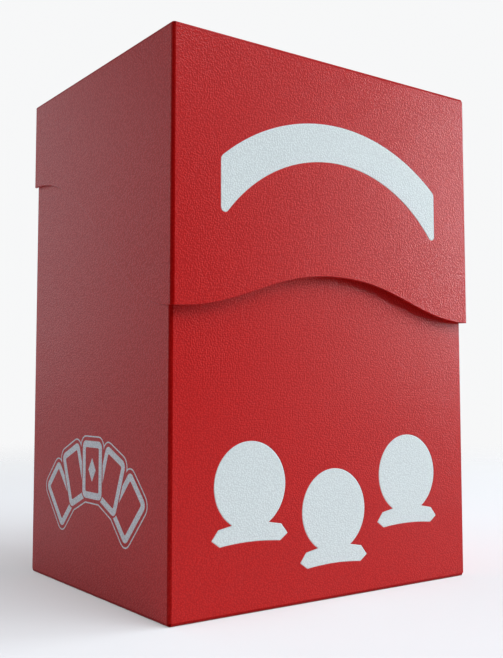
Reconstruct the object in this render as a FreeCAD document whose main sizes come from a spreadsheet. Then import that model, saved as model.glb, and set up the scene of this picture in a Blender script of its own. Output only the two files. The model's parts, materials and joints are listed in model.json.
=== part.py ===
"""Card deck box folded from one thin polypropylene sheet, with a hinged hood lid and a divider.

Millimetres. X runs across the front, Y from front to back, Z up. The origin is at the middle of
the closed box's footprint, on the surface that it stands on.
"""
import FreeCAD, Part
import math
import os
import Sketcher

# name, millimetres, what it measures
SIZES = [
    ("body_width", 71.0, "box outside, side to side"),
    ("body_depth", 56.2, "box outside, front to back"),
    ("overall_height", 100.0, "base to the outside of the closed lid"),
    ("sheet_thickness", 0.5, "polypropylene sheet"),
    ("bend_radius", 0.1, "inside radius of every crease"),
    ("lid_side_gap", 0.15, "air between a box side and the lid side"),
    ("lid_front_gap", 0.95, "air between the front wall and the flap"),
    ("flap_length", 47.85, "lid top down to the flap's corners"),
    ("flap_rise", 7.05, "how far the flap's edge rises at its middle"),
    ("flap_corner_pull", 14.0, "length of the flat start of the flap's wave"),
    ("flap_middle_pull", 16.0, "length of the flat top of the flap's wave"),
    ("side_back_drop", 18.05, "lid top down to the lid side's back corner"),
    ("side_front_pull", 20.0, "length of the flat front of the lid side's curve"),
    ("side_back_pull", 28.0, "length of the flat back of the lid side's curve"),
    ("wall_overlap", 8.5, "how far the box walls reach up inside the lid"),
    ("hinge_land", 1.6, "flat part of the hinge strip on each side of its bend"),
    ("tab_land", 1.0, "flat start of a glue tab, before it steps inward"),
    ("tab_ramp", 0.6, "length over which a glue tab steps one sheet inward"),
    ("bottom_flap_reach", 15.0, "bottom glue flap, from its crease"),
    ("seam_flap_reach", 12.0, "side seam flap, from its crease"),
    ("lid_tab_reach", 11.0, "lid glue tab, from its crease"),
    ("flap_taper", 4.0, "how far a flap's free end is cut back"),
    ("mitre_gap", 0.4, "air between two mitred flaps"),
    ("arc_half_width", 26.4, "arc window, middle to its upright end"),
    ("arc_outer_radius", 40.85, "arc window's upper edge"),
    ("arc_outer_drop", 12.1, "lid top down to the upper edge's crown"),
    ("arc_inner_radius", 32.16, "arc window's lower edge"),
    ("arc_inner_drop", 19.27, "lid top down to the lower edge's crown"),
    ("arc_shoulder_round", 1.3, "arc window's upper corners"),
    ("arc_tip_round", 0.85, "arc window's lower tips"),
    ("disc_radius", 7.65, "round window"),
    ("disc_height", 16.05, "middle window's centre above the base"),
    ("disc_raise", 5.68, "how much higher the outer two windows are"),
    ("disc_spacing", 19.1, "window centre to window centre"),
    ("neck_half_width", 3.95, "where the disc meets its ribbon"),
    ("ribbon_shoulder_half", 6.75, "ribbon's upper corner, from its middle"),
    ("ribbon_shoulder_drop", 7.07, "ribbon's upper corner, below the disc centre"),
    ("ribbon_point_half", 8.15, "ribbon's point, from its middle"),
    ("ribbon_point_drop", 8.8, "ribbon's point, below the disc centre"),
    ("ribbon_foot_half", 6.45, "ribbon's lower corner, from its middle"),
    ("ribbon_arch_drop", 9.6, "crown of the ribbon's lower edge, below the disc centre"),
    ("ribbon_arch_radius", 53.6, "ribbon's lower edge"),
    ("divider_head_gap", 6.35, "air between the divider and the lid's top"),
    ("divider_side_gap", 0.5, "air between the divider and a side wall"),
    ("divider_foot_gap", 0.15, "air between the divider and the bottom flaps"),
    ("divider_from_back", 17.0, "back wall's inside to the divider, at rest"),
    ("divider_round", 3.0, "divider's corners"),
    ("thumb_half_width", 11.0, "half the width of the divider's thumb notch"),
    ("thumb_radius", 13.0, "radius of the divider's thumb notch"),
]

PLANE_ROLE = {"XY": "XY_Plane", "XZ": "XZ_Plane", "YZ": "YZ_Plane"}
LEFT, RIGHT = -1, 1


class Size:
    """A number together with the sheet formula that gives it."""

    def __init__(self, value, formula):
        self.value = value
        self.formula = formula

    def __add__(self, other):
        other = as_size(other)
        return Size(self.value + other.value, f"({self.formula} + {other.formula})")

    def __sub__(self, other):
        other = as_size(other)
        return Size(self.value - other.value, f"({self.formula} - {other.formula})")

    def __mul__(self, other):
        other = as_size(other)
        return Size(self.value * other.value, f"({self.formula} * {other.formula})")

    def __truediv__(self, other):
        other = as_size(other)
        return Size(self.value / other.value, f"({self.formula} / {other.formula})")

    def __neg__(self):
        return Size(-self.value, f"(0 - {self.formula})")

    __radd__ = __add__
    __rmul__ = __mul__


def as_size(number):
    """Give a plain number the same form as a size."""
    return number if isinstance(number, Size) else Size(float(number), f"({float(number)})")


def other_leg(long_side, leg):
    """The third side of a right triangle, from its longest side and one leg."""
    value = math.sqrt(long_side.value**2 - leg.value**2)
    return Size(value, f"sqrt({long_side.formula} ^ 2 - {leg.formula} ^ 2)")


class Wave:
    """A smooth curve that leaves one point and reaches the next one level."""

    def __init__(self, pull_out, pull_in):
        self.pull_out = pull_out
        self.pull_in = pull_in


class Round:
    """An arc about a centre, from one point to the next; large takes the long way round."""

    def __init__(self, centre_x, centre_y, radius, large=False):
        self.centre_x = as_size(centre_x)
        self.centre_y = as_size(centre_y)
        self.radius = radius
        self.large = large


doc = FreeCAD.newDocument("card_deck_box")
sheet = doc.addObject("Spreadsheet::Sheet", "Sizes")
for row, (name, value, note) in enumerate(SIZES, start=1):
    sheet.set(f"A{row}", str(value))
    sheet.setAlias(f"A{row}", name)
    sheet.set(f"B{row}", note)
doc.recompute()

size = {name: Size(value, f"Sizes.{name}") for name, value, note in SIZES}

# Places that several pieces share.
THICK = size["sheet_thickness"]
BEND = size["bend_radius"] + THICK
HALF = size["body_width"] / 2
LID_HALF = HALF + size["lid_side_gap"] + THICK
BACK = (size["body_depth"] + size["lid_front_gap"] + THICK) / 2
FRONT = BACK - size["body_depth"]
FLAP_FRONT = -BACK
TOP = size["overall_height"]
TAB_STEP = size["tab_land"] + size["tab_ramp"]
FLAP_CORNER = TOP - size["flap_length"]
SIDE_BACK = TOP - size["side_back_drop"]
WALL_FRONT_TOP = FLAP_CORNER + size["wall_overlap"]
WALL_BACK_TOP = SIDE_BACK + size["wall_overlap"]


# ---------------------------------------------------------------- drawing an outline

def line_between(sketch, start, end):
    """Add a straight edge; return it and the numbers of its two ends."""
    first = FreeCAD.Vector(start[0].value, start[1].value, 0)
    last = FreeCAD.Vector(end[0].value, end[1].value, 0)
    return sketch.addGeometry(Part.LineSegment(first, last), False), 1, 2


def arc_between(sketch, start, end, bow):
    """Add an arc with a bound radius; return it and the numbers of its two ends."""
    centre = FreeCAD.Vector(bow.centre_x.value, bow.centre_y.value, 0)
    from_start = (start[0].value - centre.x, start[1].value - centre.y)
    from_end = (end[0].value - centre.x, end[1].value - centre.y)
    leftward = from_start[0] * from_end[1] - from_start[1] * from_end[0] > 0
    start_angle = math.atan2(from_start[1], from_start[0])
    end_angle = math.atan2(from_end[1], from_end[0])
    forward = leftward != bow.large
    if not forward:
        start_angle, end_angle = end_angle, start_angle
    if end_angle < start_angle:
        end_angle += 2 * math.pi
    circle = Part.Circle(centre, FreeCAD.Vector(0, 0, 1), bow.radius.value)
    arc = sketch.addGeometry(Part.ArcOfCircle(circle, start_angle, end_angle), False)
    radius = sketch.addConstraint(Sketcher.Constraint("Radius", arc, bow.radius.value))
    sketch.setExpression(f"Constraints[{radius}]", bow.radius.formula)
    return (arc, 1, 2) if forward else (arc, 2, 1)


def wave_between(sketch, start, end, wave):
    """Add a level-ended cubic curve with its four poles bound to the sheet."""
    heading = 1 if end[0].value > start[0].value else -1
    poles = [
        start,
        (start[0] + heading * wave.pull_out, start[1]),
        (end[0] - heading * wave.pull_in, end[1]),
        end,
    ]
    points = [FreeCAD.Vector(x.value, y.value, 0) for x, y in poles]
    curve = sketch.addGeometry(Part.BSplineCurve(points, None, None, False, 3, None, False), False)
    sketch.exposeInternalGeometry(curve)
    for number, (x, y) in enumerate(poles, start=1):
        pin(sketch, curve + number, 3, x, y)
    return curve, 1, 2


def pin(sketch, edge, end, x, y):
    """Fix a point of the sketch at a place worked out from the sheet."""
    for kind, place in (("DistanceX", x), ("DistanceY", y)):
        number = sketch.addConstraint(Sketcher.Constraint(kind, -1, 1, edge, end, place.value))
        sketch.setExpression(f"Constraints[{number}]", place.formula)


def draw(sketch, outline):
    """Draw one closed outline: points (x, y, how to go on), where None is a straight edge."""
    points = [(as_size(x), as_size(y)) for x, y, link in outline]
    links = [link for x, y, link in outline]
    edges = []
    for number, link in enumerate(links):
        start, end = points[number], points[(number + 1) % len(points)]
        if isinstance(link, Wave):
            edges.append(wave_between(sketch, start, end, link))
        elif isinstance(link, Round):
            edges.append(arc_between(sketch, start, end, link))
        else:
            edges.append(line_between(sketch, start, end))
    for number, (edge, start_end, far_end) in enumerate(edges):
        before, before_start, before_end = edges[number - 1]
        waves = isinstance(links[number], Wave) + isinstance(links[number - 1], Wave)
        if waves < 2:
            join = Sketcher.Constraint("Coincident", before, before_end, edge, start_end)
            sketch.addConstraint(join)
        if waves == 0:
            pin(sketch, edge, start_end, *points[number])


# ---------------------------------------------------------------- solid pieces

def add_sketch(body, plane, place, outlines, name):
    """Put a sketch across one of the body's planes, at a place along the third axis."""
    sketch = body.newObject("Sketcher::SketchObject", name)
    planes = [item for item in body.Origin.OriginFeatures if item.Role == PLANE_ROLE[plane]]
    sketch.AttachmentSupport = [(planes[0], "")]
    sketch.MapMode = "FlatFace"
    offset = -place if plane == "XZ" else place
    sketch.AttachmentOffset = FreeCAD.Placement(
        FreeCAD.Vector(0, 0, offset.value), FreeCAD.Rotation())
    sketch.setExpression("AttachmentOffset.Base.z", offset.formula)
    for outline in outlines:
        draw(sketch, outline)
    return sketch


def prism(label, plane, low, high, *outlines):
    """One solid body: outlines drawn in a plane and padded from low to high."""
    body = doc.addObject("PartDesign::Body", label)
    body.Label = label
    low, high = as_size(low), as_size(high)
    start = high if plane == "XZ" else low
    sketch = add_sketch(body, plane, start, outlines, f"{label}_outline")
    pad = body.newObject("PartDesign::Pad", f"{label}_pad")
    pad.Profile = sketch
    pad.setExpression("Length", (high - low).formula)
    return body


def trim(body, plane, outline, name):
    """Cut an outline right through a body, both ways from its plane."""
    sketch = add_sketch(body, plane, as_size(0), [outline], f"{name}_outline")
    pocket = body.newObject("PartDesign::Pocket", name)
    pocket.Profile = sketch
    pocket.Type = "ThroughAll"
    pocket.SideType = "Symmetric"
    doc.recompute()


def round_corners(body, corners, radius, name):
    """Fillet the edges that run through the sheet at the given places in X and Z."""
    doc.recompute()
    wanted = []
    for number, edge in enumerate(body.Tip.Shape.Edges, start=1):
        first, last = edge.Vertexes[0].Point, edge.Vertexes[-1].Point
        for x, z in corners:
            beside = [abs(end.x - x.value) + abs(end.z - z.value) < 1e-4 for end in (first, last)]
            if all(beside):
                wanted.append(f"Edge{number}")
    if len(wanted) != len(corners):
        raise RuntimeError(f"{name}: found {len(wanted)} of {len(corners)} edges")
    solid = body.Tip
    fillet = body.newObject("PartDesign::Fillet", name)
    fillet.Base = (solid, wanted)
    fillet.setExpression("Radius", radius.formula)
    doc.recompute()


def rectangle(low_x, low_y, high_x, high_y):
    """Four straight edges."""
    return [(low_x, low_y, None), (high_x, low_y, None), (high_x, high_y, None),
            (low_x, high_y, None)]


def bent(place):
    """Section of a crease between two faces, drawn from their outside corner."""
    inner = BEND - THICK
    middle = place(BEND, BEND)
    return [
        (*place(as_size(0), BEND), Round(*middle, BEND)),
        (*place(BEND, as_size(0)), None),
        (*place(BEND, THICK), Round(*middle, inner)),
        (*place(THICK, BEND), None),
    ]


def joggled(place, reach):
    """Section of a glue tab: flat, then one sheet inward, so that it lies behind its neighbour."""
    land = size["tab_land"]
    flat = as_size(0)
    steps = [(flat, flat), (land, flat), (TAB_STEP, THICK), (reach, THICK),
             (reach, 2 * THICK), (TAB_STEP, 2 * THICK), (land, THICK), (flat, THICK)]
    return [(*place(along, inward), None) for along, inward in steps]


# ---------------------------------------------------------------- windows

def round_window(centre_x, centre_z):
    """Disc on a ribbon with pointed ends and an arched lower edge."""
    neck = size["neck_half_width"]
    neck_z = centre_z - other_leg(size["disc_radius"], neck)
    foot = size["ribbon_foot_half"]
    arch = size["ribbon_arch_radius"]
    arch_z = centre_z - size["ribbon_arch_drop"] - arch
    foot_z = arch_z + other_leg(arch, foot)
    shoulder, shoulder_z = size["ribbon_shoulder_half"], centre_z - size["ribbon_shoulder_drop"]
    point, point_z = size["ribbon_point_half"], centre_z - size["ribbon_point_drop"]
    disc = Round(centre_x, centre_z, size["disc_radius"], large=True)
    return [
        (centre_x + neck, neck_z, disc),
        (centre_x - neck, neck_z, None),
        (centre_x - shoulder, shoulder_z, None),
        (centre_x - point, point_z, None),
        (centre_x - foot, foot_z, Round(centre_x, arch_z, arch)),
        (centre_x + foot, foot_z, None),
        (centre_x + point, point_z, None),
        (centre_x + shoulder, shoulder_z, None),
    ]


def arc_window_ends():
    """Half width of the arc window and the heights of its shoulders and tips."""
    half = size["arc_half_width"]
    outer_z = TOP - size["arc_outer_drop"] - size["arc_outer_radius"]
    inner_z = TOP - size["arc_inner_drop"] - size["arc_inner_radius"]
    shoulder_z = outer_z + other_leg(size["arc_outer_radius"], half)
    tip_z = inner_z + other_leg(size["arc_inner_radius"], half)
    return half, outer_z, inner_z, shoulder_z, tip_z


def arc_window():
    """Broad arc with upright ends."""
    half, outer_z, inner_z, shoulder_z, tip_z = arc_window_ends()
    return [
        (half, shoulder_z, Round(0, outer_z, size["arc_outer_radius"])),
        (-half, shoulder_z, None),
        (-half, tip_z, Round(0, inner_z, size["arc_inner_radius"])),
        (half, tip_z, None),
    ]


def round_arc_window(body):
    """Round the arc window's corners, on the pane and on its cut-out alike."""
    half, outer_z, inner_z, shoulder_z, tip_z = arc_window_ends()
    shoulders = [(half, shoulder_z), (-half, shoulder_z)]
    tips = [(half, tip_z), (-half, tip_z)]
    round_corners(body, shoulders, size["arc_shoulder_round"], f"{body.Label}_shoulders")
    round_corners(body, tips, size["arc_tip_round"], f"{body.Label}_tips")


WINDOWS = [
    ("window_left", -size["disc_spacing"], size["disc_height"] + size["disc_raise"]),
    ("window_middle", as_size(0), size["disc_height"]),
    ("window_right", size["disc_spacing"], size["disc_height"] + size["disc_raise"]),
]


# ---------------------------------------------------------------- box

def front_wall():
    """Front panel with three window cut-outs and a wavy top edge, hidden by the flap."""
    half = HALF - BEND
    crown = WALL_FRONT_TOP + size["flap_rise"]
    pulls = size["flap_corner_pull"], size["flap_middle_pull"]
    outline = [
        (-half, BEND, None),
        (half, BEND, None),
        (half, WALL_FRONT_TOP, Wave(*pulls)),
        (0, crown, Wave(*reversed(pulls))),
        (-half, WALL_FRONT_TOP, None),
    ]
    cut_outs = [round_window(x, z) for name, x, z in WINDOWS]
    return prism("front_wall", "XZ", FRONT, FRONT + THICK, outline, *cut_outs)


def window_panes():
    """Frosted panes, flush in the front wall's cut-outs."""
    return [prism(name, "XZ", FRONT, FRONT + THICK, round_window(x, z)) for name, x, z in WINDOWS]


def side_wall(side):
    """Side panel whose top edge follows the lid side's curve, one overlap higher."""
    label = "left_wall" if side == LEFT else "right_wall"
    near, far = FRONT + BEND, BACK - BEND
    outline = [
        (near, BEND, None),
        (far, BEND, None),
        (far, WALL_BACK_TOP, Wave(size["side_back_pull"], size["side_front_pull"])),
        (near, WALL_FRONT_TOP, None),
    ]
    low, high = (-HALF, THICK - HALF) if side == LEFT else (HALF - THICK, HALF)
    return prism(label, "YZ", low, high, outline)


def back_wall():
    """Back panel, from the bottom crease to the hinge strip."""
    outline = rectangle(BEND + TAB_STEP - HALF, BEND, HALF - BEND, TOP - size["hinge_land"])
    return prism("back_wall", "XZ", BACK - THICK, BACK, outline)


def bottom_panel():
    """Bottom panel, folded back from the front wall."""
    half = HALF - BEND - TAB_STEP
    outline = rectangle(-half, FRONT + BEND, half, BACK - BEND - TAB_STEP)
    return prism("bottom_panel", "XY", as_size(0), THICK, outline)


def corner_creases():
    """The four upright bends."""
    corners = [
        ("corner_crease_front_left", LEFT, FRONT, 1, WALL_FRONT_TOP),
        ("corner_crease_front_right", RIGHT, FRONT, 1, WALL_FRONT_TOP),
        ("corner_crease_back_left", LEFT, BACK, -1, WALL_BACK_TOP),
        ("corner_crease_back_right", RIGHT, BACK, -1, WALL_BACK_TOP),
    ]
    for label, side, face, inward, height in corners:
        section = bent(lambda u, v: (side * (HALF - u), face + inward * v))
        prism(label, "XY", BEND, height, section)


def seam_flap():
    """Glue flap that runs on from the left wall, behind the back wall."""
    reach = size["seam_flap_reach"]
    section = joggled(lambda u, v: (BEND - HALF + u, BACK - v), reach)
    body = prism("seam_flap", "XY", BEND, WALL_BACK_TOP, section)
    taper = size["flap_taper"]
    near, far = BEND - HALF, BEND - HALF + reach
    low, high = BEND + 2 * THICK, WALL_BACK_TOP
    trim(body, "XZ", [(near, low - THICK, None), (near, BEND, None), (far, BEND, None),
                      (far, low + taper, None)], "seam_flap_foot")
    trim(body, "XZ", [(near, high, None), (far, high - taper, None), (far, high, None)],
         "seam_flap_head")


def bottom_creases():
    """The four bends along the base."""
    half = HALF - BEND
    front = bent(lambda u, v: (FRONT + u, v))
    prism("bottom_crease_front", "YZ", -half, half, front)
    back = bent(lambda u, v: (BACK - u, v))
    prism("bottom_crease_back", "YZ", TAB_STEP - half, half, back)
    for label, side in (("bottom_crease_left", LEFT), ("bottom_crease_right", RIGHT)):
        section = bent(lambda u, v: (side * (HALF - u), v))
        prism(label, "XZ", FRONT + BEND, BACK - BEND, section)


def bottom_side_flap(side):
    """Glue flap from a side wall, stepped up onto the bottom panel, mitred at the back."""
    label = "bottom_flap_left" if side == LEFT else "bottom_flap_right"
    reach, gap = size["bottom_flap_reach"], size["mitre_gap"]
    root = side * (HALF - BEND)
    tip = side * (HALF - BEND - reach)
    near, far = FRONT + BEND, BACK - BEND
    section = joggled(lambda u, v: (side * (HALF - BEND - u), v), reach)
    body = prism(label, "XZ", near, far, section)
    trim(body, "XY", [(root, far - gap, None), (tip, far - gap - reach, None), (tip, far, None),
                      (root, far, None)], f"{label}_mitre")
    trim(body, "XY", [(root, near, None), (tip, near, None),
                      (tip, near + size["flap_taper"], None)], f"{label}_taper")


def bottom_back_flap():
    """Glue flap from the back wall, stepped up onto the bottom panel, mitred at both ends."""
    reach = size["bottom_flap_reach"]
    left, right = TAB_STEP + BEND - HALF, HALF - BEND
    root, tip = BACK - BEND, BACK - BEND - reach
    gap = size["mitre_gap"]
    section = joggled(lambda u, v: (BACK - BEND - u, v), reach)
    body = prism("bottom_flap_back", "YZ", left, right, section)
    trim(body, "XY", [(left, root, None), (left, tip, None), (left + reach, tip, None)],
         "bottom_flap_back_left_mitre")
    trim(body, "XY", [(right, root, None), (right - gap, root, None),
                      (right - gap - reach, tip, None), (right, tip, None)],
         "bottom_flap_back_right_mitre")


# ---------------------------------------------------------------- lid

def lid_top():
    """Flat top of the lid, in front of the hinge strip."""
    half = LID_HALF - BEND - TAB_STEP
    outline = rectangle(-half, FLAP_FRONT + BEND, half, BACK - size["hinge_land"])
    return prism("lid_top", "XY", TOP - THICK, TOP, outline)


def lid_front_flap():
    """Front flap with the arc window's cut-out and a wavy lower edge."""
    half = LID_HALF - BEND
    crown = FLAP_CORNER + size["flap_rise"]
    pulls = size["flap_corner_pull"], size["flap_middle_pull"]
    outline = [
        (-half, FLAP_CORNER, Wave(*pulls)),
        (0, crown, Wave(*reversed(pulls))),
        (half, FLAP_CORNER, None),
        (half, TOP - BEND, None),
        (-half, TOP - BEND, None),
    ]
    body = prism("lid_front_flap", "XZ", FLAP_FRONT, FLAP_FRONT + THICK, outline, arc_window())
    round_arc_window(body)


def window_arc():
    """Frosted pane, flush in the flap's cut-out."""
    body = prism("window_arc", "XZ", FLAP_FRONT, FLAP_FRONT + THICK, arc_window())
    round_arc_window(body)


def lid_side(side):
    """Lid side panel: low at the front, and swept up to a short back edge."""
    label = "lid_side_left" if side == LEFT else "lid_side_right"
    near = FLAP_FRONT + BEND
    outline = [
        (near, FLAP_CORNER, Wave(size["side_front_pull"], size["side_back_pull"])),
        (BACK, SIDE_BACK, None),
        (BACK, TOP - BEND, None),
        (near, TOP - BEND, None),
    ]
    low, high = (-LID_HALF, THICK - LID_HALF) if side == LEFT else (LID_HALF - THICK, LID_HALF)
    return prism(label, "YZ", low, high, outline)


def lid_creases():
    """The bends round the lid top and down both sides of the flap."""
    half = LID_HALF - BEND
    front = bent(lambda u, v: (FLAP_FRONT + u, TOP - v))
    prism("lid_crease_front", "YZ", -half, half, front)
    for word, side in (("left", LEFT), ("right", RIGHT)):
        over = bent(lambda u, v: (side * (LID_HALF - u), TOP - v))
        prism(f"lid_crease_{word}", "XZ", FLAP_FRONT + BEND, BACK, over)
        beside = bent(lambda u, v: (side * (LID_HALF - u), FLAP_FRONT + v))
        prism(f"lid_corner_crease_{word}", "XY", FLAP_CORNER, TOP - BEND, beside)


def lid_tab(side):
    """Tab that runs on from the lid side's crease and is welded under the lid top."""
    label = "lid_tab_left" if side == LEFT else "lid_tab_right"
    reach, taper = size["lid_tab_reach"], size["flap_taper"]
    root = side * (LID_HALF - BEND)
    tip = side * (LID_HALF - BEND - reach)
    near, far = FLAP_FRONT + BEND, BACK - size["hinge_land"]
    section = joggled(lambda u, v: (side * (LID_HALF - BEND - u), TOP - v), reach)
    body = prism(label, "XZ", near, far, section)
    trim(body, "XY", [(root, near, None), (tip, near, None), (tip, near + taper, None)],
         f"{label}_front_taper")
    trim(body, "XY", [(root, far, None), (tip, far, None), (tip, far - taper, None)],
         f"{label}_back_taper")


def living_hinge():
    """Strip that joins the back wall to the lid top and bends when the lid swings."""
    land, inner = size["hinge_land"], BEND - THICK
    middle = BACK - BEND, TOP - BEND
    section = [
        (BACK, TOP - land, None),
        (BACK, TOP - BEND, Round(*middle, BEND)),
        (BACK - BEND, TOP, None),
        (BACK - land, TOP, None),
        (BACK - land, TOP - THICK, None),
        (BACK - BEND, TOP - THICK, Round(*middle, inner)),
        (BACK - THICK, TOP - BEND, None),
        (BACK - THICK, TOP - land, None),
    ]
    return prism("living_hinge", "YZ", BEND + TAB_STEP - HALF, HALF - BEND, section)


# ---------------------------------------------------------------- divider

def card_divider():
    """Loose sheet that stands across the box, with round corners and a thumb notch."""
    half = HALF - THICK - size["divider_side_gap"]
    foot = 2 * THICK + size["divider_foot_gap"]
    head = TOP - THICK - size["divider_head_gap"]
    corner = size["divider_round"]
    notch = size["thumb_half_width"]
    notch_z = head + other_leg(size["thumb_radius"], notch)
    outline = [
        (corner - half, foot, None),
        (half - corner, foot, Round(half - corner, foot + corner, corner)),
        (half, foot + corner, None),
        (half, head - corner, Round(half - corner, head - corner, corner)),
        (half - corner, head, None),
        (notch, head, Round(0, notch_z, size["thumb_radius"])),
        (-notch, head, None),
        (corner - half, head, Round(corner - half, head - corner, corner)),
        (-half, head - corner, None),
        (-half, foot + corner, Round(corner - half, foot + corner, corner)),
    ]
    far = BACK - THICK - size["divider_from_back"]
    return prism("card_divider", "XZ", far - THICK, far, outline)


# ---------------------------------------------------------------- build, check, write

front_wall()
window_panes()
for hand in (LEFT, RIGHT):
    side_wall(hand)
    bottom_side_flap(hand)
    lid_side(hand)
    lid_tab(hand)
back_wall()
bottom_panel()
corner_creases()
seam_flap()
bottom_creases()
bottom_back_flap()
lid_top()
lid_front_flap()
window_arc()
lid_creases()
living_hinge()
card_divider()
doc.recompute()

for item in doc.Objects:
    if {"Invalid", "Error"} & set(item.State):
        raise RuntimeError(f"{item.Label} did not recompute: {item.State}")
    if item.TypeId == "Sketcher::SketchObject" and not item.FullyConstrained:
        raise RuntimeError(f"{item.Label} is not fully constrained")

pieces = [item for item in doc.Objects if item.TypeId == "PartDesign::Body"]
for piece in pieces:
    shape = piece.Shape
    if shape.isNull() or not shape.isValid() or len(shape.Solids) != 1:
        raise RuntimeError(f"{piece.Label} is not one valid solid")

os.makedirs("parts", exist_ok=True)
for piece in pieces:
    piece.Shape.exportStep(f"parts/{piece.Label}.step")
    print(f"{piece.Label}: {piece.Shape.Volume:.1f} mm3")
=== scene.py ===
"""Looks of the card deck box: die-cut sheet edges, grained plastic, printed card fan and studio.

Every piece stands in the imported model's frame, in metres: +Z up, the front flap towards -Y.
"""

import json
import math

import bmesh
import bpy
from mathutils import Matrix, Vector
from mathutils.bvhtree import BVHTree

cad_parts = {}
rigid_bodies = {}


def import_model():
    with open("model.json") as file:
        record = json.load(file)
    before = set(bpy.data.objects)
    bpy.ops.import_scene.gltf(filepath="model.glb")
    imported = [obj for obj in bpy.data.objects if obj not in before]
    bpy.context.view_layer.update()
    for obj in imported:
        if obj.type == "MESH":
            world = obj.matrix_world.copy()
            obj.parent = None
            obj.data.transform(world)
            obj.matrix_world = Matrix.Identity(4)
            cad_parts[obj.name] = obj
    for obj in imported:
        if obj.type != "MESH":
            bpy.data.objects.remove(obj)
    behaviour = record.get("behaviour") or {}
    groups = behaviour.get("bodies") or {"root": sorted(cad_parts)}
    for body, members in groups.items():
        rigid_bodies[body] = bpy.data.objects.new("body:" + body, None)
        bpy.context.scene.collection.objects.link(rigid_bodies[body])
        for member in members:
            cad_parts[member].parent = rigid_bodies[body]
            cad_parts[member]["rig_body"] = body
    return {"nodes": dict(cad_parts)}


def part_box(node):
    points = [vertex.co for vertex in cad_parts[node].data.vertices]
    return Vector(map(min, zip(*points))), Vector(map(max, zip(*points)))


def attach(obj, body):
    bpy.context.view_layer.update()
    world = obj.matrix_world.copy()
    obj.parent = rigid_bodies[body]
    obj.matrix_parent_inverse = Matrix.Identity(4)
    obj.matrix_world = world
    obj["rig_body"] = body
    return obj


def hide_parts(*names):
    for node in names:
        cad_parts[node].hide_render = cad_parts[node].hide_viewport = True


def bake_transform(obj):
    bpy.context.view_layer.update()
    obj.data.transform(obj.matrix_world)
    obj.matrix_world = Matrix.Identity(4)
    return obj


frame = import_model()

bl_info = {
    "name": "Card deck box",
    "version": (1, 0, 0),
    "blender": (4, 5, 0),
    "location": "View3D > Sidebar > Deck box",
    "description": "Finishes a folded card deck box around its CAD panels",
    "category": "Object",
}

NODES = frame["nodes"]
BODY_OF = {name: node["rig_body"] for name, node in NODES.items()}
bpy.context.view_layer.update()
MM = 0.001

# Points closer than HAIR or WELD are merged, and a node closer than TOUCH is a neighbour.
HAIR = 0.001 * MM
WELD = 0.004 * MM
TOUCH = 0.02 * MM
# A turn below FLAT is no edge at all, and one above SHARP is a sharp edge.
FLAT = math.radians(1)
SHARP = math.radians(30)

PANES = ["window_left", "window_middle", "window_right", "window_arc"]
# Flat pieces inside the box and bends along its flat edges, which keep the mesh they came with.
PLAIN_SHEETS = [
    "bottom_panel",
    "seam_flap",
    "bottom_flap_left",
    "bottom_flap_right",
    "bottom_flap_back",
    "lid_tab_left",
    "lid_tab_right",
    "bottom_crease_front",
    "bottom_crease_left",
    "bottom_crease_right",
    "bottom_crease_back",
    "lid_crease_front",
    "lid_crease_left",
    "lid_crease_right",
]

# A crease is painted darker than the sheet, as painted shade along the folds. It is also duller,
# and its grain is nearly flat.
SHEET_GLOSS = 0.39
CREASE_PAINTED_SHADE = 0.76
CREASE_GLOSS = 0.1
CREASE_RELIEF = 0.004 * MM
# The pane colour is painted darker in the grain's hollows by this factor, as painted shade.
PANE_PAINTED_SHADE = 0.86

# Small sizes of the printed card fan.
CARD_ROUND = 1.3 * MM
LEAST_ROUND = 0.35 * MM
OVERLAP_GAP = 0.35 * MM
OUTLINE_OUTSIDE = 0.95 * MM
OUTLINE_INSIDE = 0.70 * MM
PIP_HALF_WIDTH = 1.5 * MM
PIP_HALF_HEIGHT = 2.2 * MM

# Rows in each flat part of the living hinge, and steps round its bend.
HINGE_ROWS = 4
HINGE_STEPS = 10

# The floor fades out between two distances from the box, and is part clear even beside it.
FLOOR_RADIUS = 3.0
FADE_START = 0.10
FADE_END = 0.5
FLOOR_CLEAR = 0.33

# The lights' aim and tint, the brighter side of the room, and the camera in metres and degrees.
BOX_MIDDLE = Vector((0, 0, 0.05))
SOFTBOX_TINT = (0.96, 1.0, 1.06)
BRIGHT_SIDE = Vector((-0.35, 0.9, 0.25)).normalized()
CAMERA_PLACE = (-0.111604, -0.154079, 0.038341)
CAMERA_LIFT = 4.217
CAMERA_TURN = -35.552
CAMERA_SHIFT = (0.01505, -0.00927)


# ---------------------------------------------------------------- sizes and colours


class SheetSettings(bpy.types.PropertyGroup):
    """Colour and surface of the red polypropylene sheet."""

    colour: bpy.props.FloatVectorProperty(
        name="Sheet colour",
        description="Colour of the dyed sheet",
        default=(0.655, 0.0100, 0.0072),
        size=3,
        min=0.0,
        max=1.0,
        subtype="COLOR",
    )
    # Painted shade: the sheet's colour painted darker in the hollows of the grain, where shade
    # falls.
    shade: bpy.props.FloatVectorProperty(
        name="Grain shade",
        description="Sheet colour at the bottom of the pressed grain",
        default=(0.515, 0.0006, 0.0003),
        size=3,
        min=0.0,
        max=1.0,
        subtype="COLOR",
    )
    grain: bpy.props.FloatProperty(
        name="Grain size",
        description="Spacing of the pebbles of the pressed grain",
        default=0.34 * MM,
        min=0.05 * MM,
        unit="LENGTH",
    )
    relief: bpy.props.FloatProperty(
        name="Grain relief",
        description="Depth of the pressed grain",
        default=0.028 * MM,
        min=0.0,
        unit="LENGTH",
    )
    roughness: bpy.props.FloatProperty(
        name="Roughness",
        description="Roughness of the sheet, a little less on the pebbles and more between them",
        default=0.33,
        min=0.0,
        max=1.0,
        subtype="FACTOR",
    )
    edge_round: bpy.props.FloatProperty(
        name="Cut edge round",
        description="Width of the rounding along a die-cut edge",
        default=0.1 * MM,
        min=0.0,
        unit="LENGTH",
    )


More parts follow.
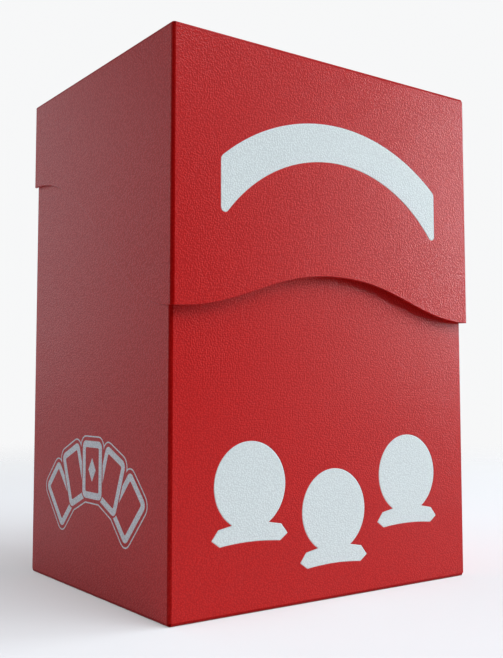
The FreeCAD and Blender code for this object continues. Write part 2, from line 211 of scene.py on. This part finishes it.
class PaneSettings(bpy.types.PropertyGroup):
    """Colour and surface of the frosted panes."""

    colour: bpy.props.FloatVectorProperty(
        name="Pane colour",
        description="Colour of the frosted panes",
        default=(0.85, 0.93, 0.91),
        size=3,
        min=0.0,
        max=1.0,
        subtype="COLOR",
    )
    relief: bpy.props.FloatProperty(
        name="Frost relief",
        description="Depth of the frosted grain",
        default=0.020 * MM,
        min=0.0,
        unit="LENGTH",
    )
    roughness: bpy.props.FloatProperty(
        name="Roughness",
        description="Roughness of the frosted face, a little less on the pebbles",
        default=0.5,
        min=0.0,
        max=1.0,
        subtype="FACTOR",
    )
    groove: bpy.props.FloatProperty(
        name="Rim round",
        description="Width of the rounding around a pane",
        default=0.12 * MM,
        min=0.0,
        unit="LENGTH",
    )


class DividerSettings(bpy.types.PropertyGroup):
    """Colour of the loose divider, which has the sheet's own grain."""

    colour: bpy.props.FloatVectorProperty(
        name="Divider colour",
        description="Colour of the charcoal sheet",
        default=(0.022, 0.022, 0.024),
        size=3,
        min=0.0,
        max=1.0,
        subtype="COLOR",
    )
    # Painted shade: the charcoal painted darker in the grain's hollows.
    shade: bpy.props.FloatVectorProperty(
        name="Divider shade",
        description="Charcoal at the bottom of the pressed grain",
        default=(0.017, 0.017, 0.018),
        size=3,
        min=0.0,
        max=1.0,
        subtype="COLOR",
    )


class PrintSettings(bpy.types.PropertyGroup):
    """Size, place and colour of the silver card fan on the left wall."""

    card_width: bpy.props.FloatProperty(
        name="Card width",
        description="Width of one printed card",
        default=8.0 * MM,
        min=1 * MM,
        unit="LENGTH",
    )
    card_height: bpy.props.FloatProperty(
        name="Card height",
        description="Height of one printed card",
        default=10.8 * MM,
        min=1 * MM,
        unit="LENGTH",
    )
    spread: bpy.props.FloatProperty(
        name="Spread",
        description="Turn from one card of the fan to the next",
        default=math.radians(22),
        min=0.0,
        unit="ROTATION",
    )
    pivot_height: bpy.props.FloatProperty(
        name="Pivot height",
        description="Height of the fan's pivot above the base",
        default=3.0 * MM,
        unit="LENGTH",
    )
    pivot_reach: bpy.props.FloatProperty(
        name="Pivot reach",
        description="From the fan's pivot to the foot of a card",
        default=14.8 * MM,
        min=0.0,
        unit="LENGTH",
    )
    stroke: bpy.props.FloatProperty(
        name="Stroke",
        description="Width of a card's printed border",
        default=1.25 * MM,
        min=0.1 * MM,
        unit="LENGTH",
    )
    ink: bpy.props.FloatProperty(
        name="Ink thickness",
        description="Thickness of the print, half of it sunk into the wall",
        default=0.03 * MM,
        min=0.001 * MM,
        unit="LENGTH",
    )
    colour: bpy.props.FloatVectorProperty(
        name="Ink colour",
        description="Silver on top of the grain",
        default=(0.90, 0.91, 0.93),
        size=3,
        min=0.0,
        max=1.0,
        subtype="COLOR",
    )
    # Painted shade: the silver painted darker in the grain's hollows.
    shade: bpy.props.FloatVectorProperty(
        name="Ink shade",
        description="Silver at the bottom of the grain",
        default=(0.66, 0.67, 0.69),
        size=3,
        min=0.0,
        max=1.0,
        subtype="COLOR",
    )


class StudioSettings(bpy.types.PropertyGroup):
    """Camera and lights."""

    lens: bpy.props.FloatProperty(
        name="Lens",
        description="Focal length for a 36 mm sensor",
        default=49.11,
        min=1.0,
        unit="CAMERA",
    )
    key_power: bpy.props.FloatProperty(
        name="Key light",
        description="Power of the soft light beside the front face on the right",
        default=9.4,
        min=0.0,
        unit="POWER",
    )
    fill_power: bpy.props.FloatProperty(
        name="Fill light",
        description="Power of the soft light high in front of the box",
        default=7.6,
        min=0.0,
        unit="POWER",
    )
    top_power: bpy.props.FloatProperty(
        name="Top light",
        description="Power of the soft light straight above",
        default=1.2,
        min=0.0,
        unit="POWER",
    )
    left_power: bpy.props.FloatProperty(
        name="Left light",
        description="Power of the weak light behind the left wall",
        default=0.32,
        min=0.0,
        unit="POWER",
    )
    back_power: bpy.props.FloatProperty(
        name="Back light",
        description="Power of the soft light behind the box on the left",
        default=0.35,
        min=0.0,
        unit="POWER",
    )


# ---------------------------------------------------------------- helpers


def select_only(*objects):
    """Leave just these objects selected, the first one active."""
    bpy.ops.object.select_all(action="DESELECT")
    for item in objects:
        item.select_set(True)
    bpy.context.view_layer.objects.active = objects[0]


def place_in_mesh(piece):
    """Put the piece's place, turn and size into its mesh."""
    select_only(piece)
    bpy.ops.object.transform_apply(location=True, rotation=True, scale=True)


def pick(piece, kind, test):
    """Select the faces, edges or vertices that pass a test, and go into edit mode."""
    mesh = piece.data
    for group in (mesh.vertices, mesh.edges, mesh.polygons):
        group.foreach_set("select", [False] * len(group))
    for item in getattr(mesh, kind):
        item.select = bool(test(item))
    mode = {"vertices": "VERT", "edges": "EDGE", "polygons": "FACE"}[kind]
    select_only(piece)
    bpy.ops.object.mode_set(mode="EDIT")
    bpy.ops.mesh.select_mode(type=mode)


def done():
    """Go back from edit mode to object mode."""
    bpy.ops.object.mode_set(mode="OBJECT")


def weld():
    """Merge what a bevel or a cut left too close together, in edit mode."""
    bpy.ops.mesh.remove_doubles(threshold=WELD)
    bpy.ops.mesh.dissolve_degenerate(threshold=WELD)


def use(piece, kind, **settings):
    """Add a modifier with these settings and apply it."""
    modifier = piece.modifiers.new(kind.lower(), kind)
    for name, value in settings.items():
        setattr(modifier, name, value)
    select_only(piece)
    bpy.ops.object.modifier_apply(modifier=modifier.name)


def smooth(piece):
    """Shade round faces smooth, and keep the flat faces of the sheet flat."""
    select_only(piece)
    bpy.ops.object.shade_smooth_by_angle(angle=SHARP)
    use(piece, "WEIGHTED_NORMAL", keep_sharp=True)


def wear(piece, material):
    """Give a finished piece its material."""
    piece.data.materials.clear()
    piece.data.materials.append(material)


# ---------------------------------------------------------------- surface patterns


def new_group(name, inputs, outputs):
    """An empty shader node group with named sockets."""
    group = bpy.data.node_groups.new(name, "ShaderNodeTree")
    for label, kind, value in inputs:
        socket = group.interface.new_socket(label, in_out="INPUT", socket_type=kind)
        if value is not None:
            socket.default_value = value
    for label, kind in outputs:
        group.interface.new_socket(label, in_out="OUTPUT", socket_type=kind)
    return group, group.nodes.new("NodeGroupInput"), group.nodes.new("NodeGroupOutput")


def pressed_grain():
    """Fine pebbled grain that the sheet's roller presses into it."""
    name = "pressed_grain"
    if name in bpy.data.node_groups:
        return bpy.data.node_groups[name]
    group, entry, leave = new_group(
        name,
        [
            ("Vector", "NodeSocketVector", None),
            ("Pebbles per metre", "NodeSocketFloat", 1700.0),
        ],
        [
            ("Height", "NodeSocketFloat"),
            ("Mottle", "NodeSocketFloat"),
        ],
    )
    make, link = group.nodes.new, group.links.new
    stir = make("ShaderNodeTexNoise")
    stir.inputs["Detail"].default_value = 1.0
    link(entry.outputs["Vector"], stir.inputs["Vector"])
    link(entry.outputs["Pebbles per metre"], stir.inputs["Scale"])
    pebble = make("ShaderNodeTexVoronoi")
    pebble.inputs["Randomness"].default_value = 0.85
    link(entry.outputs["Vector"], pebble.inputs["Vector"])
    link(entry.outputs["Pebbles per metre"], pebble.inputs["Scale"])
    dome = make("ShaderNodeMapRange")
    dome.interpolation_type = "SMOOTHSTEP"
    dome.inputs["From Min"].default_value = 0.75
    dome.inputs["From Max"].default_value = 0.05
    link(pebble.outputs["Distance"], dome.inputs["Value"])
    both = make("ShaderNodeMath")
    both.operation = "MULTIPLY_ADD"
    both.inputs[1].default_value = 0.35
    link(stir.outputs["Fac"], both.inputs[0])
    link(dome.outputs["Result"], both.inputs[2])
    link(both.outputs[0], leave.inputs["Height"])
    link(dome.outputs["Result"], leave.inputs["Mottle"])
    return group


def grained(name, colour, shade, grain, relief, hollow_roughness, top_roughness, gloss):
    """A surface whose colour, roughness and relief all follow the pressed grain, its colour
    painted darker in the hollows as painted shade.

    colour and top_roughness belong to the pebbles; the painted shade colour and hollow_roughness
    belong to the hollows between them.
    """
    material = bpy.data.materials.new(name)
    material.use_nodes = True
    tree = material.node_tree
    make, link = tree.nodes.new, tree.links.new
    shader = tree.nodes["Principled BSDF"]
    shader.inputs["Specular IOR Level"].default_value = gloss
    place = make("ShaderNodeTexCoord")
    grains = make("ShaderNodeGroup")
    grains.node_tree = pressed_grain()
    grains.inputs["Pebbles per metre"].default_value = 1 / grain
    link(place.outputs["Object"], grains.inputs["Vector"])
    # Painted shade: the colour darkens from the pebbles into the grain's hollows.
    hollow_darkening = make("ShaderNodeMix")
    hollow_darkening.data_type = "RGBA"
    hollow_darkening.inputs["A"].default_value = (*shade, 1.0)
    hollow_darkening.inputs["B"].default_value = (*colour, 1.0)
    link(grains.outputs["Mottle"], hollow_darkening.inputs["Factor"])
    link(hollow_darkening.outputs["Result"], shader.inputs["Base Color"])
    sheen = make("ShaderNodeMapRange")
    sheen.inputs["To Min"].default_value = hollow_roughness
    sheen.inputs["To Max"].default_value = top_roughness
    link(grains.outputs["Mottle"], sheen.inputs["Value"])
    link(sheen.outputs["Result"], shader.inputs["Roughness"])
    bump = make("ShaderNodeBump")
    bump.inputs["Strength"].default_value = 1.0
    bump.inputs["Distance"].default_value = relief
    link(grains.outputs["Height"], bump.inputs["Height"])
    link(bump.outputs["Normal"], shader.inputs["Normal"])
    return material


def dyed_plastic(name, colour, shade, grain, relief, roughness, gloss=SHEET_GLOSS):
    """Plastic sheet dyed right through, a little glossier on its pebbles than between them, with
    painted shade in its grain's hollows.
    """
    return grained(name, colour, shade, grain, relief, roughness + 0.06, roughness - 0.04, gloss)


def silver_print(colour, shade, grain):
    """Silver ink that lies on the sheet's grain and evens it out, painted darker in the grain's
    hollows as painted shade.
    """
    material = grained("silver_print", colour, shade, grain, 0.006 * MM, 0.52, 0.40, 0.5)
    material.node_tree.nodes["Principled BSDF"].inputs["Metallic"].default_value = 0.4
    return material


# ---------------------------------------------------------------- die-cut copies of the sheets


def surface_of(names):
    """One search tree over several CAD nodes."""
    joined = bmesh.new()
    for name in names:
        joined.from_mesh(NODES[name].data)
    tree = BVHTree.FromBMesh(joined)
    joined.free()
    return tree


def free_edges(piece, beside):
    """The sharp edges of a piece that none of the nodes beside it touches."""
    neighbours = surface_of(beside) if beside else None
    shape = bmesh.new()
    shape.from_mesh(piece.data)
    free = set()
    for edge in shape.edges:
        if len(edge.link_faces) != 2 or edge.calc_face_angle() < SHARP:
            continue
        middle = (edge.verts[0].co + edge.verts[1].co) / 2
        if neighbours is None or neighbours.find_nearest(middle, TOUCH)[0] is None:
            free.add(edge.index)
    shape.free()
    return free


def die_cut(node, name, rounding, beside=()):
    """A named copy of a CAD sheet, merged, with its free cut edges rounded."""
    piece = bpy.data.objects.new(name, NODES[node].data.copy())
    bpy.context.scene.collection.objects.link(piece)
    pick(piece, "vertices", lambda v: True)
    bpy.ops.mesh.remove_doubles(threshold=WELD)
    bpy.ops.mesh.dissolve_limited(angle_limit=FLAT)
    done()
    free = free_edges(piece, beside)
    if free:
        pick(piece, "edges", lambda e: e.index in free)
        bpy.ops.mesh.bevel(offset=rounding, segments=2, affect="EDGES", clamp_overlap=True)
        bpy.ops.mesh.select_all(action="SELECT")
        weld()
        done()
    smooth(piece)
    return piece


# ---------------------------------------------------------------- operators


class DECKBOX_OT_sheets(bpy.types.Operator):
    """Give every panel, crease and flap its red sheet finish and rounded cut edges, with painted
    shade in the grain's hollows and darker painted shade on the creases
    """

    bl_idname = "deckbox.sheets"
    bl_label = "Red sheets"

    def execute(self, context):
        look = context.scene.deckbox_sheet
        red = dyed_plastic(
            "red_polypropylene_sheet",
            look.colour,
            look.shade,
            look.grain,
            look.relief,
            look.roughness,
        )
        # The creases' material: the sheet's colours painted darker, as painted shade along the
        # folds.
        pressed = dyed_plastic(
            "pressed_red_crease",
            [CREASE_PAINTED_SHADE * c for c in look.colour],
            [CREASE_PAINTED_SHADE * c for c in look.shade],
            look.grain,
            CREASE_RELIEF,
            look.roughness,
            CREASE_GLOSS,
        )
        not_here = [*PANES, "card_divider", "living_hinge"]
        for name in [n for n in NODES if n not in not_here]:
            # Creases wear the material with painted shade.
            material = pressed if "crease" in name else red
            if name in PLAIN_SHEETS:
                NODES[name].data.materials.clear()
                NODES[name].data.materials.append(material)
                continue
            beside = [
                n
                for n in NODES
                if n != name and BODY_OF[n] == BODY_OF[name] and n not in PANES
            ]
            piece = die_cut(name, f"{name}_sheet", look.edge_round, beside)
            wear(piece, material)
            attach(piece, BODY_OF[name])
            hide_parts(name)
        return {"FINISHED"}


class DECKBOX_OT_panes(bpy.types.Operator):
    """Frost the panes, with painted shade in the grain's hollows, and round their rims"""

    bl_idname = "deckbox.panes"
    bl_label = "Frosted panes"

    def execute(self, context):
        look = context.scene.deckbox_pane
        frost = dyed_plastic(
            "frosted_polypropylene_pane",
            look.colour,
            # Painted shade in the panes' grain hollows.
            [PANE_PAINTED_SHADE * c for c in look.colour],
            context.scene.deckbox_sheet.grain,
            look.relief,
            look.roughness,
        )
        for name in PANES:
            piece = die_cut(name, f"{name}_pane", look.groove)
            wear(piece, frost)
            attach(piece, BODY_OF[name])
            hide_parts(name)
        return {"FINISHED"}


class DECKBOX_OT_divider(bpy.types.Operator):
    """Round the loose divider's edges and give it its charcoal finish, with painted shade in the
    grain's hollows
    """

    bl_idname = "deckbox.divider"
    bl_label = "Divider"

    def execute(self, context):
        look = context.scene.deckbox_divider
        sheet = context.scene.deckbox_sheet
        charcoal = dyed_plastic(
            "charcoal_polypropylene_sheet",
            look.colour,
            look.shade,
            sheet.grain,
            sheet.relief,
            sheet.roughness,
        )
        piece = die_cut("card_divider", "card_divider_sheet", sheet.edge_round)
        wear(piece, charcoal)
        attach(piece, "divider")
        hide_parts("card_divider")
        return {"FINISHED"}


class DECKBOX_OT_hinge(bpy.types.Operator):
    """Model the living hinge as a strip in rows, up the wall, round its bend and along the lid"""

    bl_idname = "deckbox.hinge"
    bl_label = "Living hinge"

    def execute(self, context):
        low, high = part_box("living_hinge")
        wall_low, wall_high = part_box("back_wall")
        fold_low, fold_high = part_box("corner_crease_back_left")
        sheet = wall_high.y - wall_low.y
        bend = fold_high.y - fold_low.y

        # One edge along X at the foot of the strip, from a plane squeezed flat.
        bpy.ops.object.select_all(action="DESELECT")
        bpy.ops.mesh.primitive_plane_add(
            size=1, location=((low.x + high.x) / 2, high.y, low.z), rotation=(math.pi / 2, 0, 0)
        )
        strip = context.active_object
        strip.name = "living_hinge_strip"
        strip.scale = (high.x - low.x, 0, 1)
        place_in_mesh(strip)
        pick(strip, "vertices", lambda v: True)
        bpy.ops.mesh.remove_doubles(threshold=HAIR)

        # Up the wall, round the bend and forward along the lid, as the sheet's outer face.
        rise = (high.z - bend - low.z) / HINGE_ROWS
        for _ in range(HINGE_ROWS):
            bpy.ops.mesh.extrude_region_move(TRANSFORM_OT_translate={"value": (0, 0, rise)})
        bpy.ops.mesh.spin(
            steps=HINGE_STEPS,
            angle=math.pi / 2,
            center=(0, high.y - bend, high.z - bend),
            axis=(-1, 0, 0),
        )
        reach = (high.y - bend - low.y) / HINGE_ROWS
        for _ in range(HINGE_ROWS):
            bpy.ops.mesh.extrude_region_move(TRANSFORM_OT_translate={"value": (0, -reach, 0)})
        bpy.ops.mesh.select_all(action="SELECT")
        bpy.ops.mesh.remove_doubles(threshold=HAIR)
        bpy.ops.mesh.normals_make_consistent(inside=False)
        done()
        use(strip, "SOLIDIFY", thickness=sheet, offset=-1, use_even_offset=True)
        smooth(strip)
        wear(strip, bpy.data.materials["red_polypropylene_sheet"])
        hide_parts("living_hinge")
        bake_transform(strip)
        return {"FINISHED"}


class DECKBOX_OT_fan_print(bpy.types.Operator):
    """Print a silver fan of five cards on the left wall"""

    bl_idname = "deckbox.fan_print"
    bl_label = "Card fan print"

    def execute(self, context):
        look = context.scene.deckbox_print
        through = 3 * look.ink

        # The middle card lies on top, so each card is cut back beside those that come after it.
        turns = [look.spread * step for step in (-2, 2, -1, 1, 0)]
        cards = []
        for layer, turn in enumerate(turns):
            card = self.plate(look, turn, 0, look.ink)
            self.combine(card, self.plate(look, turn, -look.stroke, through), "DIFFERENCE")
            for over in turns[layer + 1 :]:
                self.combine(card, self.plate(look, over, OVERLAP_GAP, through), "DIFFERENCE")
            cards.append(card)
        outline = self.silhouette(look, turns, OUTLINE_OUTSIDE, look.ink)
        inside = self.silhouette(look, turns, OUTLINE_INSIDE, through)
        self.combine(outline, inside, "DIFFERENCE")
        pip = self.lozenge(look.pivot_reach + look.card_height / 2, look.ink)
        select_only(*cards, outline, pip)
        bpy.ops.object.join()
        fan = context.active_object
        fan.name = "card_fan_print"

        # From lying flat at the pivot to standing on the wall, half sunk into it.
        wall_low, wall_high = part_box("left_wall")
        fan.matrix_world = Matrix(
            (
                (0, 0, -1, wall_low.x),
                (-1, 0, 0, (wall_low.y + wall_high.y) / 2),
                (0, 1, 0, look.pivot_height),
                (0, 0, 0, 1),
            )
        )
        place_in_mesh(fan)
        pick(fan, "polygons", lambda f: True)
        weld()
        bpy.ops.mesh.normals_make_consistent(inside=False)
        done()
        silver = silver_print(look.colour, look.shade, context.scene.deckbox_sheet.grain)
        wear(fan, silver)
        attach(fan, "box")
        return {"FINISHED"}

    def plate(self, look, turn, grow, thick):
        """A flat card with round corners, turned about the fan's pivot."""
        width, height = look.card_width + 2 * grow, look.card_height + 2 * grow
        bpy.ops.object.select_all(action="DESELECT")
        bpy.ops.mesh.primitive_plane_add(
            size=1, location=(0, look.pivot_reach + look.card_height / 2, -thick / 2)
        )
        card = bpy.context.active_object
        card.scale = (width, height, 1)
        place_in_mesh(card)
        pick(card, "vertices", lambda v: True)
        corner = max(CARD_ROUND + grow, LEAST_ROUND)
        bpy.ops.mesh.bevel(offset=corner, segments=5, affect="VERTICES")
        bpy.ops.mesh.select_all(action="SELECT")
        bpy.ops.mesh.extrude_region_move(TRANSFORM_OT_translate={"value": (0, 0, thick)})
        bpy.ops.mesh.select_all(action="SELECT")
        bpy.ops.mesh.normals_make_consistent(inside=False)
        done()
        card.rotation_euler = (0, 0, -turn)
        place_in_mesh(card)
        return card

    def lozenge(self, height, thick):
        """The pip on the middle card."""
        bpy.ops.object.select_all(action="DESELECT")
        bpy.ops.mesh.primitive_circle_add(
            vertices=4, radius=1, fill_type="NGON", location=(0, height, -thick / 2)
        )
        shape = bpy.context.active_object
        shape.scale = (PIP_HALF_WIDTH, PIP_HALF_HEIGHT, 1)
        place_in_mesh(shape)
        pick(shape, "polygons", lambda f: True)
        bpy.ops.mesh.extrude_region_move(TRANSFORM_OT_translate={"value": (0, 0, thick)})
        done()
        return shape

    def combine(self, shape, tool, operation):
        """Cut a tool out of a shape or join it on, and use the tool up."""
        use(shape, "BOOLEAN", operation=operation, object=tool, solver="EXACT")
        bpy.data.objects.remove(tool)

    def silhouette(self, look, turns, grow, thick):
        """The outer shape of the whole fan, as one plate."""
        first = self.plate(look, turns[0], grow, thick)
        for turn in turns[1:]:
            self.combine(first, self.plate(look, turn, grow, thick), "UNION")
        return first


class DECKBOX_OT_studio(bpy.types.Operator):
    """Build the pale floor, the soft lights and the camera"""

    bl_idname = "deckbox.studio"
    bl_label = "Studio"

    def execute(self, context):
        look = context.scene.deckbox_studio
        self.floor(context)
        self.light("key_softbox", turn=75, rise=14, away=1.0, width=0.50, power=look.key_power)
        self.light("fill_softbox", turn=25, rise=55, away=1.0, width=0.67, power=look.fill_power)
        self.light("top_softbox", turn=0, rise=90, away=1.1, width=0.70, power=look.top_power)
        self.light("left_softbox", turn=-108, rise=35, away=0.6, width=0.30, power=look.left_power)
        self.light("back_softbox", turn=190, rise=12, away=0.70, width=0.35, power=look.back_power)
        self.sky(context.scene)
        self.camera(context.scene, look.lens)
        context.scene.view_settings.view_transform = "Standard"
        return {"FINISHED"}

    def floor(self, context):
        """A round pale floor that fades into the background."""
        bpy.ops.object.select_all(action="DESELECT")
        bpy.ops.mesh.primitive_circle_add(vertices=96, radius=FLOOR_RADIUS, fill_type="NGON")
        floor = context.active_object
        floor.name = "studio_floor"
        material = bpy.data.materials.new("pale_floor")
        material.use_nodes = True
        tree = material.node_tree
        make, link = tree.nodes.new, tree.links.new
        shader = tree.nodes["Principled BSDF"]
        shader.inputs["Base Color"].default_value = (0.84, 0.85, 0.86, 1.0)
        shader.inputs["Roughness"].default_value = 0.9
        shader.inputs["Specular IOR Level"].default_value = 0.1
        clear = make("ShaderNodeBsdfTransparent")
        fade = make("ShaderNodeMixShader")
        place = make("ShaderNodeTexCoord")
        away = make("ShaderNodeVectorMath")
        away.operation = "LENGTH"
        ring = make("ShaderNodeMapRange")
        ring.interpolation_type = "SMOOTHSTEP"
        ring.inputs["From Min"].default_value = FADE_START
        ring.inputs["From Max"].default_value = FADE_END
        ring.inputs["To Min"].default_value = FLOOR_CLEAR
        link(place.outputs["Object"], away.inputs[0])
        link(away.outputs["Value"], ring.inputs["Value"])
        link(ring.outputs["Result"], fade.inputs[0])
        link(shader.outputs[0], fade.inputs[1])
        link(clear.outputs[0], fade.inputs[2])
        link(fade.outputs[0], tree.nodes["Material Output"].inputs["Surface"])
        floor.data.materials.append(material)

    def light(self, name, turn, rise, away, width, power):
        """A square soft light aimed at the box.

        turn runs from the front towards the right and rise from level upwards, in degrees.
        """
        data = bpy.data.lights.new(name, "AREA")
        data.shape = "SQUARE"
        data.size = width
        data.energy = power
        data.color = SOFTBOX_TINT
        turn, rise = math.radians(turn), math.radians(rise)
        out = Vector(
            (math.sin(turn) * math.cos(rise), -math.cos(turn) * math.cos(rise), math.sin(rise))
        )
        lamp = bpy.data.objects.new(name, data)
        lamp.location = BOX_MIDDLE + away * out
        lamp.rotation_euler = (-out).to_track_quat("-Z", "Y").to_euler()
        lamp.visible_camera = False
        bpy.context.scene.collection.objects.link(lamp)

    def sky(self, scene):
        """A dim room, brighter on one side, that the camera sees as a pale even backdrop."""
        world = bpy.data.worlds.new("studio_world")
        scene.world = world
        world.use_nodes = True
        tree = world.node_tree
        make, link = tree.nodes.new, tree.links.new
        room = tree.nodes["Background"]
        room.inputs["Color"].default_value = (0.90, 0.92, 1.0, 1.0)
        where = make("ShaderNodeTexCoord")
        side = make("ShaderNodeVectorMath")
        side.operation = "DOT_PRODUCT"
        side.inputs[1].default_value = BRIGHT_SIDE
        link(where.outputs["Generated"], side.inputs[0])
        fall = make("ShaderNodeMapRange")
        fall.interpolation_type = "SMOOTHSTEP"
        fall.inputs["From Min"].default_value = 0.0
        fall.inputs["From Max"].default_value = 1.0
        fall.inputs["To Min"].default_value = 0.03
        fall.inputs["To Max"].default_value = 0.45
        link(side.outputs["Value"], fall.inputs["Value"])
        link(fall.outputs["Result"], room.inputs["Strength"])
        white = make("ShaderNodeBackground")
        white.inputs["Color"].default_value = (0.93, 0.935, 0.94, 1.0)
        seen = make("ShaderNodeLightPath")
        both = make("ShaderNodeMixShader")
        link(seen.outputs["Is Camera Ray"], both.inputs[0])
        link(room.outputs[0], both.inputs[1])
        link(white.outputs[0], both.inputs[2])
        link(both.outputs[0], tree.nodes["World Output"].inputs["Surface"])

    def camera(self, scene, lens):
        """A camera low in front of the box's left corner."""
        data = bpy.data.cameras.new("studio_camera")
        data.lens = lens
        data.sensor_width = 36.0
        data.shift_x, data.shift_y = CAMERA_SHIFT
        data.clip_start, data.clip_end = 0.01, 20.0
        camera = bpy.data.objects.new("studio_camera", data)
        camera.location = CAMERA_PLACE
        camera.rotation_euler = (math.radians(90 + CAMERA_LIFT), 0, math.radians(CAMERA_TURN))
        scene.collection.objects.link(camera)
        scene.camera = camera


class DECKBOX_PT_panel(bpy.types.Panel):
    """Lists the steps that finish the box"""

    bl_label = "Deck box"
    bl_idname = "DECKBOX_PT_panel"
    bl_space_type = "VIEW_3D"
    bl_region_type = "UI"
    bl_category = "Deck box"

    def draw(self, context):
        column = self.layout.column()
        for settings in GROUPS:
            group = getattr(context.scene, settings)
            for name in group.bl_rna.properties.keys():
                if name not in ("rna_type", "name"):
                    column.prop(group, name)
        for step in STEPS:
            column.operator(step.bl_idname)


STEPS = [
    DECKBOX_OT_sheets,
    DECKBOX_OT_panes,
    DECKBOX_OT_divider,
    DECKBOX_OT_hinge,
    DECKBOX_OT_fan_print,
    DECKBOX_OT_studio,
]
GROUPS = {
    "deckbox_sheet": SheetSettings,
    "deckbox_pane": PaneSettings,
    "deckbox_divider": DividerSettings,
    "deckbox_print": PrintSettings,
    "deckbox_studio": StudioSettings,
}


def register():
    """Make the settings, steps and panel known to Blender."""
    for item in [*GROUPS.values(), *STEPS, DECKBOX_PT_panel]:
        bpy.utils.register_class(item)
    for name, group in GROUPS.items():
        setattr(bpy.types.Scene, name, bpy.props.PointerProperty(type=group))


def unregister():
    """Take the settings, steps and panel away again."""
    for name in GROUPS:
        delattr(bpy.types.Scene, name)
    for item in [DECKBOX_PT_panel, *reversed(STEPS), *reversed(GROUPS.values())]:
        bpy.utils.unregister_class(item)


def main():
    """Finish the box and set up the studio."""
    register()
    bpy.ops.deckbox.sheets()
    bpy.ops.deckbox.panes()
    bpy.ops.deckbox.divider()
    bpy.ops.deckbox.hinge()
    bpy.ops.deckbox.fan_print()
    bpy.ops.deckbox.studio()


if __name__ == "__main__":
    main()
